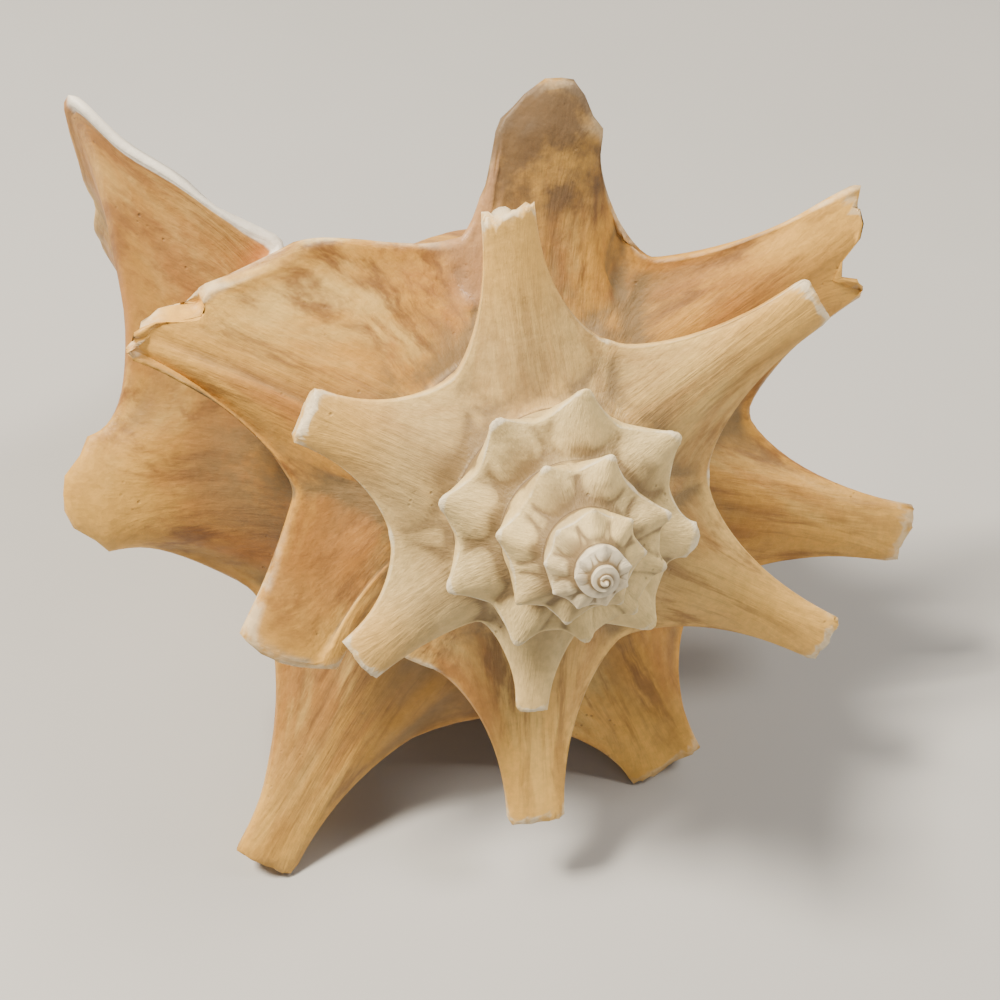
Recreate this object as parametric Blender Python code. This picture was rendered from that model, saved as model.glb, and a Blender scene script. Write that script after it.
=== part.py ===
"""Conch shell with long blunt spines, lying on its back with its mouth up. Metres, +Z up.

The shell is one solid. It is laid out first round its coiling axis, apex at the origin and
the axis along Z, and is then turned and set down on the points that it rests on.
A place on the outside is given by a turn, which counts whorls from the apex outwards, and by
a girth, which runs down one whorl: 0 at the upper suture, 1 at the shoulder, 2 at the lower
suture and 3 at the end of the canal.
"""

import math
from collections import namedtuple

import bmesh
import bpy
import numpy as np

# Growth of the whorls
FIRST_TURN = -4.4
MOUTH_TURN = 3.63
SHOULDER_RADIUS = 0.0224
SHOULDER_TURN = 0.5
GROWTH_PER_TURN = 0.392
EARLY_GROWTH = 0.04
CONE_STEEPNESS = 1.105
APEX_BLUNTNESS = 0.0028
SPIRE_RISE = 0.005
SPIRE_FOOT = 0.3
SPIRE_SPAN = 3.0
SHELL_LENGTH = 0.250
# The shoulder stands out more, or less, round a turn: the turn, a width and a share
WEB_FILLS = ((2.616, 0.054, 0.438), (1.340, 0.032, -0.14), (1.195, 0.035, -0.10), (3.420, 0.030, -0.09))

# The section of one whorl, as shares of its shoulder radius
SUTURE_INSET = 0.92
SUTURE_DROP = 0.30
SPIRE_STEP = 0.20
SUTURE_CLIMB = (2.38, 2.60, 2.66, 2.82)
RAMP_HOLLOW = 0.055
SHOULDER_ROUND = 0.05

# The body below the shoulder: shares of the radius, and shares of the way to the canal's end
BODY_GIRTHS = ((0.94, 0.10), (0.92, 0.28), (0.62, 0.50), (0.20, 0.70), (0.19, 0.93), (0.17, 1.0))

# The lip: the points of its margin are (sideways, towards the mouth's side, height)
MOUTH_FACES = math.radians(90)
LIP_START_TURN = 3.44
LIP_MARGIN = (
    (0.0480, 0.0575, -0.060),
    (0.0562, 0.0587, -0.062),
    (0.0718, 0.0691, -0.066),
    (0.0810, 0.0749, -0.070),
    (0.0886, 0.0822, -0.075),
    (0.0872, 0.0665, -0.092),
    (0.0852, 0.0560, -0.110),
    (0.0848, 0.0440, -0.135),
    (0.0785, 0.0330, -0.160),
    (0.0530, 0.0200, -0.189),
    (0.0370, 0.0200, -0.213),
    (0.0170, 0.0080, -0.236),
)
LIP_GIRTHS = (0.14, 0.3, 0.6, 0.8, 1.0, 1.35, 1.7, 2.1, 2.35, 2.55, 2.75, 2.9)
WALL = 0.0042
EDGE_WALL = 0.0022
THINNED_TURNS = 0.07
EDGE_ROUND = 0.35
EDGE_FADE = 0.3

# The hollow behind the mouth, and how tightly its corners close
CAVITY_TURNS = 0.55
TOP_CORNER = 6
END_CORNER = 3

APEX_RISE = 0.0026

# Lying down: roughly the way that ends up upwards, and how far the feet are worn
RESTING_UP = (-0.13, 0.88, 0.45)
FOOT_WEAR = 0.0006

# Sampling of the surface before it is thinned out
ROWS_PER_TURN = 112
RAMP_COLUMNS = 12
SIDE_COLUMNS = 6
BODY_COLUMNS = 16
SEAM_COLUMN = RAMP_COLUMNS + SIDE_COLUMNS
TRIANGLES = 9600
WELD = 1e-6

# How every spine is drawn: the share of its root that becomes the flat tip, how square the root
# is, how it tapers and flares, how much of the ramp and side it takes, and how far it reaches
# below the shoulder where the body is bare
TIP_REACH = 0.22
ROOT_SQUARENESS = 2.3
TAPER = 1.35
FLARE = 2.2
ROOT_SPAN = 0.95
ROOT_BELOW = 0.42
BARE_WITHIN = 0.12

Spine = namedtuple(
    "Spine", "turn length lift swing before after tip_width tip_depth dome slant", defaults=(0,)
)
# turn; length, m; lift to the apex and swing along the growth, degrees; half widths of the root,
# as shares of the shoulder radius; half width, half depth, dome and slant of the tip, m
SPINES = (
    Spine(1.036, 0.0055, 5, 0, 0.42, 0.42, 0.0042, 0.0034, 0.0015),
    Spine(1.264, 0.014, 5, 0, 0.38, 0.34, 0.0036, 0.0030, 0.000),
    Spine(1.405, 0.018, 5, 0, 0.38, 0.48, 0.0055, 0.0040, 0.000),
    Spine(1.576, 0.022, 5, 0, 0.50, 0.50, 0.0058, 0.0042, 0.000),
    Spine(1.730, 0.028, 5, 0, 0.42, 0.50, 0.0056, 0.0045, -0.003),
    Spine(1.906, 0.035, 5, 0, 0.50, 0.50, 0.0060, 0.0048, 0.000),
    Spine(2.084, 0.041, 5, 0, 0.50, 0.50, 0.0060, 0.0050, 0.000),
    Spine(2.247, 0.037, 5, 0, 0.50, 0.50, 0.0068, 0.0050, 0.000),
    Spine(2.450, 0.020, 5, -45, 0.45, 0.36, 0.0130, 0.0070, 0.002),
    Spine(2.578, 0.022, 5, 0, 0.40, 0.39, 0.0075, 0.0060, -0.005, 0.005),
    Spine(2.765, 0.023, 5, 0, 0.31, 0.48, 0.0115, 0.0070, 0.009),
    Spine(2.909, 0.038, 5, 5, 0.40, 0.42, 0.0125, 0.0070, -0.003, 0.004),
    Spine(3.040, 0.045, 5, 0, 0.37, 0.45, 0.0078, 0.0070, 0.000),
    Spine(3.176, 0.032, 5, 0, 0.45, 0.66, 0.0100, 0.0070, 0.000),
    Spine(3.337, 0.047, 5, 0, 0.44, 0.48, 0.0078, 0.0070, 0.000),
    Spine(3.488, 0.0165, 5, 0, 0.36, 0.38, 0.0095, 0.0095, 0.007),
)
# Rounded knobs from the first whorls on
KNOB_TURNS = (
    -2.483, -2.384, -2.227, -2.015, -1.918, -1.800, -1.690, -1.582, -1.473, -1.366, -1.239,
    -1.110, -1.000, -0.853, -0.720, -0.600, -0.454, -0.307, -0.186, -0.029, 0.060, 0.140, 0.220,
    0.320, 0.443, 0.556, 0.668, 0.777, 0.905, 1.138,
)
KNOBS_END = 1.28
KNOB_INSET = 0.06
KNOB_SIDE = 0.09
KNOB_LENGTH = 0.24
FIRST_KNOB_SHARE = 0.5
KNOBS_GROWN = (-1.8, 0.2)
KNOB_SPREAD = 0.38
KNOB_FLARE = 1.25
KNOB_TIP = (0.075, 0.075, 0.04)


def smooth_step(x):
    x = np.clip(x, 0, 1)
    return x * x * (3 - 2 * x)


def whorl_radius(turn):
    past = turn - SHOULDER_TURN
    early = np.minimum(past, 0)
    return SHOULDER_RADIUS * np.exp(GROWTH_PER_TURN * past - EARLY_GROWTH * early**2)


def knobbed(turn):
    return smooth_step((KNOBS_END - turn) / 0.25)


def shoulder_radius(turn):
    fills = sum(amount * np.exp(-(((turn - at) / width) ** 2)) for at, width, amount in WEB_FILLS)
    return whorl_radius(turn) * (1 + fills - KNOB_INSET * knobbed(turn))


def shoulder(turn):
    height = -CONE_STEEPNESS * np.hypot(whorl_radius(turn), APEX_BLUNTNESS)
    return shoulder_radius(turn), height + SPIRE_RISE * smooth_step((SPIRE_FOOT - turn) / SPIRE_SPAN)


def lower_suture(turn):
    """Where the next whorl meets this one: below the shoulder, and up on it beside the mouth."""
    radius, height = shoulder(turn)
    start, top, leave, end = SUTURE_CLIMB
    climb = smooth_step((turn - start) / (top - start)) * smooth_step((end - turn) / (end - leave))
    inset = SUTURE_INSET + (0.99 - SUTURE_INSET) * climb + KNOB_SIDE * knobbed(turn)
    drop = SUTURE_DROP * (1 - 0.8 * climb) + SPIRE_STEP * smooth_step(SPIRE_FOOT - turn)
    return inset * radius, height - drop * radius


def bezier(points, s):
    """The Bezier curve through a control polygon of (radius, height) pairs, at s from 0 to 1."""
    order = len(points) - 1
    weights = [math.comb(order, i) * s**i * (1 - s) ** (order - i) for i in range(order + 1)]
    return [sum(w * p[axis] for w, p in zip(weights, points)) for axis in (0, 1)]


def section(turn, girth):
    """Radius and height of the plain whorl, without its spines."""
    upper, keel, lower = lower_suture(turn - 1), shoulder(turn), lower_suture(turn)
    radius = keel[0]
    middle = (
        0.5 * (upper[0] + keel[0]) - 0.6 * RAMP_HOLLOW * radius,
        0.5 * (upper[1] + keel[1]) - 0.8 * RAMP_HOLLOW * radius,
    )
    ramp = bezier((upper, middle, keel), np.clip(girth, 0, 1))
    brow = (keel[0] + SHOULDER_ROUND * radius, keel[1] - 0.5 * SHOULDER_ROUND * radius)
    cheek = (lower[0] + 0.3 * SHOULDER_ROUND * radius, lower[1] + 1.2 * SHOULDER_ROUND * radius)
    side = bezier((keel, brow, cheek, lower), np.clip(girth - 1, 0, 1))
    end = -SHELL_LENGTH
    polygon = [lower]
    girth_radius = whorl_radius(turn)
    for share, down in BODY_GIRTHS:
        polygon.append((share * girth_radius, lower[1] + down * (end - lower[1])))
    polygon.append((0 * radius, end + 0 * radius))
    body = bezier(polygon, np.clip(girth - 2, 0, 1))
    pick = [girth <= 1, girth <= 2]
    return [np.select(pick, [ramp[axis], side[axis]], body[axis]) for axis in (0, 1)]


def around(radius, height, turn):
    """Points at a radius and height on the half-plane of a turn. Growth runs clockwise from above."""
    azimuth = -2 * math.pi * turn
    return np.stack(
        np.broadcast_arrays(radius * np.cos(azimuth), radius * np.sin(azimuth), height), axis=-1
    )


def plain_whorl(turn, girth):
    radius, height = section(turn, girth)
    return around(radius, height, turn)


def lip_margin(girth):
    """The edge of the mouth, from the suture round the wing to the canal's end."""
    sideways = np.array([math.cos(MOUTH_FACES + math.pi / 2), math.sin(MOUTH_FACES + math.pi / 2), 0])
    facing = np.array([math.cos(MOUTH_FACES), math.sin(MOUTH_FACES), 0])
    known = [plain_whorl(MOUTH_TURN, np.array(0.0))]
    known += [a * sideways + b * facing + np.array([0, 0, c]) for a, b, c in LIP_MARGIN]
    known += [plain_whorl(MOUTH_TURN, np.array(3.0))]
    return smooth_path(np.array((0.0, *LIP_GIRTHS, 3.0)), np.array(known), girth)


def smooth_path(places, points, at):
    """A Catmull-Rom curve through points that stand at the given places."""
    slopes = np.gradient(points, places, axis=0)
    index = np.clip(np.searchsorted(places, at, side="right") - 1, 0, len(places) - 2)
    step = places[index + 1] - places[index]
    s = ((at - places[index]) / step)[..., None]
    step = step[..., None]
    return (
        (2 * s**3 - 3 * s**2 + 1) * points[index]
        + (s**3 - 2 * s**2 + s) * step * slopes[index]
        + (3 * s**2 - 2 * s**3) * points[index + 1]
        + (s**3 - s**2) * step * slopes[index + 1]
    )


def whorl_with_lip(turn, girth):
    """The whorl's surface, whose last stretch opens out into the lip."""
    regular = plain_whorl(turn, girth)
    stretch = MOUTH_TURN - LIP_START_TURN
    s = np.clip((turn - LIP_START_TURN) / stretch, 0, 1)[..., None] + 0 * regular
    start_turn = LIP_START_TURN + 0 * turn
    start = plain_whorl(start_turn, girth)
    step = 1e-3
    leaving = (plain_whorl(start_turn + step, girth) - start) / step * stretch
    margin = lip_margin(girth + 0 * turn)
    fade = smooth_step((3 - girth) / 0.4)[..., None] * smooth_step(girth / 0.6)[..., None]
    arriving = 0.5 * leaving * fade
    opened = (
        (2 * s**3 - 3 * s**2 + 1) * start
        + (s**3 - 2 * s**2 + s) * leaving
        + (3 * s**2 - 2 * s**3) * margin
        + (s**3 - s**2) * arriving
    )
    share = smooth_step(girth / 0.5)[..., None] * (s > 0)
    return regular + share * (opened - regular)


def knobs():
    """The knobs of the whorls before the long spines."""
    first, last = KNOBS_GROWN
    for turn in KNOB_TURNS:
        size = float(shoulder_radius(turn))
        grown = float(smooth_step((turn - first) / (last - first)))
        tip = [share * size for share in KNOB_TIP]
        length = KNOB_LENGTH * size * (FIRST_KNOB_SHARE + (1 - FIRST_KNOB_SHARE) * grown)
        yield Spine(turn, length, 12, 0, KNOB_SPREAD, KNOB_SPREAD, *tip)


def grow_spine(points, surface, turn, arc, extents, spine, flare):
    """Draws the whorl out into one spine, ring by ring round the spine's root."""
    radius = float(shoulder_radius(spine.turn))
    root = whorl_with_lip(np.array(spine.turn), np.array(1.0))
    azimuth = -2 * math.pi * spine.turn
    radial = np.array([math.cos(azimuth), math.sin(azimuth), 0])
    growing = np.array([math.sin(azimuth), -math.cos(azimuth), 0])
    lift, swing = math.radians(spine.lift), math.radians(spine.swing)
    way = math.cos(lift) * (math.cos(swing) * radial + math.sin(swing) * growing)
    way += math.sin(lift) * np.array([0, 0, 1])
    across = growing - growing.dot(way) * way
    across /= np.linalg.norm(across)
    upward = np.cross(across, way)
    upward *= math.copysign(1, upward[2])

    width = np.where(turn < spine.turn, spine.before, spine.after) * radius
    along_turn = np.abs(turn - spine.turn) * 2 * math.pi * radius / width
    reach = (along_turn**ROOT_SQUARENESS + np.abs(arc) ** ROOT_SQUARENESS) ** (1 / ROOT_SQUARENESS)
    near = reach < 1
    side = np.where(turn < spine.turn, -along_turn, along_turn)[near]
    reach, width, extent = reach[near], width[near], extents[near]
    ring = np.clip((reach - TIP_REACH) / (1 - TIP_REACH), 0, 1)
    within = np.maximum(reach, TIP_REACH)
    offset = surface[near] - root
    height = spine.length * (1 - ring) ** TAPER
    height += spine.dome * smooth_step(1.4 * (1 - np.minimum(reach / TIP_REACH, 1)))
    height -= spine.slant * (1 - ring) ** 4 * np.clip(side / TIP_REACH, -1, 1)
    opened = ring**flare
    widths = (spine.tip_width + (width - spine.tip_width) * opened) / (width * within)
    depths = (spine.tip_depth + (extent - spine.tip_depth) * opened) / (extent * within)
    drawn = (
        root
        + (height + offset @ way * ring)[:, None] * way
        + (offset @ across * widths)[:, None] * across
        + (offset @ upward * depths)[:, None] * upward
    )
    points[near] += drawn - surface[near]


def outer_grid():
    """Turns, girths and points of the outside, as a grid of rows along the growth."""
    rows = round((MOUTH_TURN - FIRST_TURN) * ROWS_PER_TURN)
    turns = MOUTH_TURN - np.arange(rows, -1, -1) / ROWS_PER_TURN
    girths = np.concatenate(
        [
            np.linspace(0, 1, RAMP_COLUMNS + 1)[:-1],
            np.linspace(1, 2, SIDE_COLUMNS + 1)[:-1],
            np.linspace(2, 3, BODY_COLUMNS + 1),
        ]
    )
    turn, girth = np.meshgrid(turns, girths, indexing="ij")
    surface = whorl_with_lip(turn, girth)
    steps = np.linalg.norm(np.diff(surface, axis=1), axis=-1)
    along = np.concatenate([np.zeros((len(turns), 1)), np.cumsum(steps, axis=1)], axis=1)
    above = along[:, RAMP_COLUMNS : RAMP_COLUMNS + 1]
    arc = along - above
    held = ROOT_SPAN * arc[:, SEAM_COLUMN]
    bare = smooth_step((turns - (MOUTH_TURN - 1)) / BARE_WITHIN)
    below = held + (ROOT_BELOW * shoulder_radius(turns) - held) * bare
    extents = np.where(arc < 0, ROOT_SPAN * above, below[:, None])
    points = surface.copy()
    for spines, flare in ((knobs(), KNOB_FLARE), (SPINES, FLARE)):
        for spine in spines:
            grow_spine(points, surface, turn, arc / extents, extents, spine, flare)
    return turns, girths, surface, points


def grid_faces(index):
    """Quads between neighbouring rows and columns of an array of point numbers."""
    corners = np.stack([index[:-1, :-1], index[1:, :-1], index[1:, 1:], index[:-1, 1:]], axis=-1)
    return corners.reshape(-1, 4).tolist()


class Skin:
    """Points and faces of the shell, gathered patch by patch."""

    def __init__(self):
        self.points = []
        self.faces = []

    def add(self, points):
        """Takes in an array of points and gives back their numbers in the same shape."""
        first = len(self.points)
        flat = points.reshape(-1, 3)
        self.points.extend(flat.tolist())
        return first + np.arange(len(flat)).reshape(points.shape[:-1])

    def cover(self, index):
        self.faces += grid_faces(index)


def shell_skin():
    """The whole shell: outside, lip and cavity."""
    skin = Skin()
    turns, girths, surface, points = outer_grid()
    last = len(girths) - 1
    body_row = len(turns) - 1 - ROWS_PER_TURN
    outside = skin.add(points)
    skin.cover(outside[: body_row + 1, : SEAM_COLUMN + 1])
    skin.cover(outside[body_row:])
    close_apex(skin, outside)

    rows = np.arange(len(turns) - 1, len(turns) - 2 - round(CAVITY_TURNS * ROWS_PER_TURN), -1)
    core = surface[rows - ROWS_PER_TURN]
    inner = inner_wall(surface[rows], core, turns[rows])
    inside = skin.add(inner)
    skin.cover(inside)

    edge = skin.add(lip_edge(points, surface, inner, girths))
    skin.cover(np.stack([outside[-1], edge, inside[0]]))
    top, end = SEAM_COLUMN + 1, last - 1
    skin.faces.append([outside[body_row, SEAM_COLUMN], outside[body_row, top], edge[0]])
    skin.faces.append([outside[body_row, last], edge[-1], outside[body_row, end]])

    core[0] = points[body_row]
    back = skin.add(core[:, top : end + 1])
    skin.cover(back)
    skin.faces.append([*inside[-1], *back[-1][::-1]])
    return skin


def close_apex(skin, outside):
    tip = skin.add(np.array([0, 0, APEX_RISE]))
    rim = [*outside[: ROWS_PER_TURN + 1, 0], *outside[0, 1:SEAM_COLUMN][::-1]]
    skin.faces += [[tip, a, b] for a, b in zip(rim, [*rim[1:], rim[0]])]


def lip_edge(points, surface, inner, girths):
    """The rounded middle of the lip's margin, between the outer and the inner wall."""
    ahead = points[-1] - surface[-3]
    ahead /= np.maximum(np.linalg.norm(ahead, axis=-1, keepdims=True), WELD)
    fade = smooth_step(np.minimum(girths, 3 - girths) / EDGE_FADE)[:, None]
    return 0.5 * (points[-1] + inner[0]) + EDGE_ROUND * EDGE_WALL * ahead * fade


def wall_at(turns):
    """The thickness of the outer wall, which thins towards the margin of the lip."""
    return EDGE_WALL + (WALL - EDGE_WALL) * smooth_step((MOUTH_TURN - turns) / THINNED_TURNS)


def inner_wall(outside, core, turns):
    """The inside of the outer wall, from the corner at the suture to the corner at the canal."""
    normal = np.cross(np.gradient(outside, axis=0), np.gradient(outside, axis=1))
    normal /= np.maximum(np.linalg.norm(normal, axis=-1, keepdims=True), WELD**2)
    level = np.array([1, 1, 0])
    keel = RAMP_COLUMNS
    outwards = np.sign(np.sum(normal[:, keel] * outside[:, keel] * level, axis=-1))
    inside = outside - normal * (wall_at(turns) * outwards)[:, None, None]
    share = np.linspace(0, 1, outside.shape[1])[None, :, None]
    to_top = (core[:, SEAM_COLUMN + 1] - inside[:, 0])[:, None]
    to_end = (core[:, -2] - inside[:, -1])[:, None]
    return inside + to_top * (1 - share) ** TOP_CORNER + to_end * share**END_CORNER


def clear_scene():
    for obj in list(bpy.data.objects):
        bpy.data.objects.remove(obj, do_unlink=True)


def shell_material():
    material = bpy.data.materials.new("shell")
    material.use_nodes = True
    finish = material.node_tree.nodes["Principled BSDF"]
    finish.inputs["Base Color"].default_value = (0.62, 0.42, 0.24, 1)
    finish.inputs["Roughness"].default_value = 0.5
    finish.inputs["Metallic"].default_value = 0.0
    return material


def centre_of_mass(sheet):
    """The centre of a closed triangulated mesh."""
    corners = np.array([[vert.co for vert in face.verts] for face in sheet.faces])
    volumes = np.einsum("ij,ij->i", corners[:, 0], np.cross(corners[:, 1], corners[:, 2]))
    return (corners.sum(axis=1) / 4 * volumes[:, None]).sum(axis=0) / volumes.sum()


def resting_frame(mesh):
    """Axes and height of the way that the shell lies still: on the facet of its hull under it."""
    solid = bmesh.new()
    solid.from_mesh(mesh)
    bmesh.ops.triangulate(solid, faces=solid.faces)
    centre = centre_of_mass(solid)
    hull = bmesh.ops.convex_hull(solid, input=solid.verts)["geom"]
    wanted = np.array(RESTING_UP)
    best, best_match = None, -2.0
    for face in [item for item in hull if isinstance(item, bmesh.types.BMFace)]:
        corners = np.array([vert.co for vert in face.verts])
        down = np.cross(corners[1] - corners[0], corners[2] - corners[0])
        down /= np.linalg.norm(down)
        if down @ (corners[0] - centre) < 0:
            down = -down
        under = all(
            (np.cross(corners[i - 2] - corners[i], centre - corners[i]) @ down)
            * (np.cross(corners[i - 2] - corners[i], corners[i - 1] - corners[i]) @ down)
            >= 0
            for i in range(3)
        )
        if under and -down @ wanted > best_match:
            best, best_match = (down, corners), -down @ wanted
    solid.free()
    down, corners = best
    across = np.cross(-down, np.array([0, 0, 1]))
    across /= np.linalg.norm(across)
    basis = np.stack([across, np.cross(-down, across), -down])
    return basis, float(basis[2] @ corners[0])


def make_shell():
    skin = shell_skin()
    mesh = bpy.data.meshes.new("outline")
    mesh.from_pydata(skin.points, [], skin.faces)
    sheet = bmesh.new()
    sheet.from_mesh(mesh)
    bmesh.ops.remove_doubles(sheet, verts=sheet.verts, dist=WELD)
    bmesh.ops.recalc_face_normals(sheet, faces=sheet.faces)
    sheet.to_mesh(mesh)
    sheet.free()
    shell = bpy.data.objects.new("conch_shell", mesh)
    thin_out(shell)
    set_down(shell.data)
    shell.data.name = "conch_shell"
    shell.data.materials.append(shell_material())
    shell.data.shade_smooth()
    return shell


def thin_out(shell):
    """Leaves the most triangles where the surface bends the most."""
    collection = bpy.context.scene.collection
    collection.objects.link(shell)
    thin = shell.modifiers.new("thin_out", "DECIMATE")
    thin.ratio = TRIANGLES / sum(len(face.vertices) - 2 for face in shell.data.polygons)
    depsgraph = bpy.context.evaluated_depsgraph_get()
    shell.data = bpy.data.meshes.new_from_object(shell.evaluated_get(depsgraph))
    shell.modifiers.clear()
    collection.objects.unlink(shell)


def set_down(mesh):
    """Lays the shell on the floor, wears its three feet flat and centres it over the origin."""
    basis, floor = resting_frame(mesh)
    verts = np.array([vert.co for vert in mesh.vertices]) @ basis.T
    verts[:, 2] -= floor + FOOT_WEAR
    mesh.vertices.foreach_set("co", verts.ravel())
    sheet = bmesh.new()
    sheet.from_mesh(mesh)
    everything = sheet.verts[:] + sheet.edges[:] + sheet.faces[:]
    bmesh.ops.bisect_plane(
        sheet, geom=everything, plane_co=(0, 0, 0), plane_no=(0, 0, -1), clear_outer=True
    )
    worn = [edge for edge in sheet.edges if edge.is_boundary]
    bmesh.ops.holes_fill(sheet, edges=worn)
    bmesh.ops.recalc_face_normals(sheet, faces=sheet.faces)
    sheet.to_mesh(mesh)
    sheet.free()
    verts = np.array([vert.co for vert in mesh.vertices])
    middle = 0.5 * (verts.min(axis=0) + verts.max(axis=0)) * [1, 1, 0]
    mesh.vertices.foreach_set("co", (verts - middle).ravel())
    return basis, np.array([0, 0, floor + FOOT_WEAR]) + middle


def main():
    clear_scene()
    collection = bpy.data.collections.new("conch_shell")
    bpy.context.scene.collection.children.link(collection)
    collection.objects.link(make_shell())


if __name__ == "__main__":
    main()
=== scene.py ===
"""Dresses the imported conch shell: its spines, lip, growth relief and finish, on a plain studio floor.

The fine shell follows the same growth law and sizes as the solid that it stands for. A place on it is
given by a turn, which counts whorls from the apex outwards, and a girth, which runs down one whorl: 0 at
the upper suture, 1 at the shoulder, 2 at the lower suture and 3 at the end of the canal. The finish reads
both from the piece's own UV maps, so that streaks and growth lines follow the shell round.
"""

import math
from collections import namedtuple

import bpy
import numpy as np
from bpy.props import FloatProperty, FloatVectorProperty, IntProperty, PointerProperty
from mathutils import Matrix, Vector, noise


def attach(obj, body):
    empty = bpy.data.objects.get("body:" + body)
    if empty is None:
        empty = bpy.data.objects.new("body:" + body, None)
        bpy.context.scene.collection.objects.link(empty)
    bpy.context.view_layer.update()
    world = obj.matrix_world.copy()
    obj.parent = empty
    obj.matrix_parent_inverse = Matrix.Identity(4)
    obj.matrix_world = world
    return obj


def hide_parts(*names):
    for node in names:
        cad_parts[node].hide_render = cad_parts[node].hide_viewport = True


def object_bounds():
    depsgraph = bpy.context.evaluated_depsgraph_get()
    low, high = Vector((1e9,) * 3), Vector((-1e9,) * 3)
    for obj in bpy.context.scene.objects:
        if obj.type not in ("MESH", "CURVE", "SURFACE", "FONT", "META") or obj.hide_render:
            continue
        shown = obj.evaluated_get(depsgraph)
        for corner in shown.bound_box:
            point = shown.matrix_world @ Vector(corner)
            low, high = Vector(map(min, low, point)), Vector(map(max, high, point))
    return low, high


bl_info = {
    "name": "Conch shell",
    "version": (1, 0, 0),
    "blender": (4, 5, 0),
    "location": "3D View > Sidebar > Shell",
    "description": "Builds a conch shell with long spines and a flared lip over its plain solid",
    "category": "Object",
}

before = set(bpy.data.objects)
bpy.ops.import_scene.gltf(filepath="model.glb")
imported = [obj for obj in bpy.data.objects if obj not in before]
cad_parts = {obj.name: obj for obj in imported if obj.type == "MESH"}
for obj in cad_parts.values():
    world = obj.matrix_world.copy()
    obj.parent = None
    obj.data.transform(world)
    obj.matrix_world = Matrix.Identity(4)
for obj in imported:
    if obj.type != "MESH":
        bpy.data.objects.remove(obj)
CAD_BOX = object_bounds()

# Growth of the whorls, m and turns
FIRST_TURN = -4.4
MOUTH_TURN = 3.63
SHOULDER_RADIUS = 0.0224
SHOULDER_TURN = 0.5
GROWTH_PER_TURN = 0.392
EARLY_GROWTH = 0.04
CONE_STEEPNESS = 1.105
APEX_BLUNTNESS = 0.0028
SPIRE_RISE = 0.005
SPIRE_FOOT = 0.3
SPIRE_SPAN = 3.0
SHELL_LENGTH = 0.250
WEB_FILLS = ((2.616, 0.054, 0.438), (1.340, 0.032, -0.14), (1.195, 0.035, -0.10), (3.420, 0.030, -0.09))

# The section of one whorl, as shares of its shoulder radius
SUTURE_INSET = 0.92
SUTURE_DROP = 0.30
SPIRE_STEP = 0.20
SUTURE_CLIMB = (2.38, 2.60, 2.66, 2.82)
RAMP_HOLLOW = 0.055
SHOULDER_ROUND = 0.05
BODY_GIRTHS = ((0.94, 0.10), (0.92, 0.28), (0.62, 0.50), (0.20, 0.70), (0.19, 0.93), (0.17, 1.0))

# The lip: the points of its margin are (sideways, towards the mouth's side, height)
MOUTH_FACES = math.radians(90)
LIP_START_TURN = 3.44
LIP_MARGIN = (
    (0.0480, 0.0575, -0.060),
    (0.0562, 0.0587, -0.062),
    (0.0718, 0.0691, -0.066),
    (0.0810, 0.0749, -0.070),
    (0.0886, 0.0822, -0.075),
    (0.0872, 0.0665, -0.092),
    (0.0852, 0.0560, -0.110),
    (0.0848, 0.0440, -0.135),
    (0.0785, 0.0330, -0.160),
    (0.0530, 0.0200, -0.189),
    (0.0370, 0.0200, -0.213),
    (0.0170, 0.0080, -0.236),
)
LIP_GIRTHS = (0.14, 0.3, 0.6, 0.8, 1.0, 1.35, 1.7, 2.1, 2.35, 2.55, 2.75, 2.9)
WALL = 0.0042
EDGE_WALL = 0.0022
THINNED_TURNS = 0.07
EDGE_ROUND = 0.35
EDGE_FADE = 0.3
CAVITY_TURNS = 0.55
TOP_CORNER = 6
END_CORNER = 3
APEX_RISE = 0.0026
APEX_BULGE = 0.0002
APEX_RINGS = 6

# Lying down
RESTING_UP = (-0.1280110, 0.8860519, 0.4455616)
FLOOR_HEIGHT = -0.11539

# Columns down one whorl, closer together towards the shoulder
RAMP_COLUMNS = 20
SIDE_COLUMNS = 9
BODY_COLUMNS = 26
SEAM_COLUMN = RAMP_COLUMNS + SIDE_COLUMNS
TINY = 1e-9
WELD = 1e-6

# How every spine is drawn
TIP_REACH = 0.22
ROOT_SQUARENESS = 2.3
TAPER = 1.35
FLARE = 2.2
ROOT_SPAN = 0.95
ROOT_BELOW = 0.42
BARE_WITHIN = 0.12
BROKEN_TIP = 0.0007
BROKEN_HOLLOW = 0.0014

# Deep seams: turn, half width, depth, first and last girth
GROOVES = ((2.832, 0.006, 0.0016, 0.55, 1.2), (2.71, 0.004, 0.0008, 0.2, 0.9))
# Notches across the tips of spines, by the spine's turn: place and half width as shares of the tip's, depth in m
NOTCHES = {2.578: (0.95, 0.50, 0.011), 2.909: (0.43, 0.28, 0.0065)}
GLAZE_START = 2.69
GLAZE_END = 2.735
GLAZE_STEP = 0.0005

Spine = namedtuple(
    "Spine", "turn length lift swing before after tip_width tip_depth dome slant", defaults=(0,)
)
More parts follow.
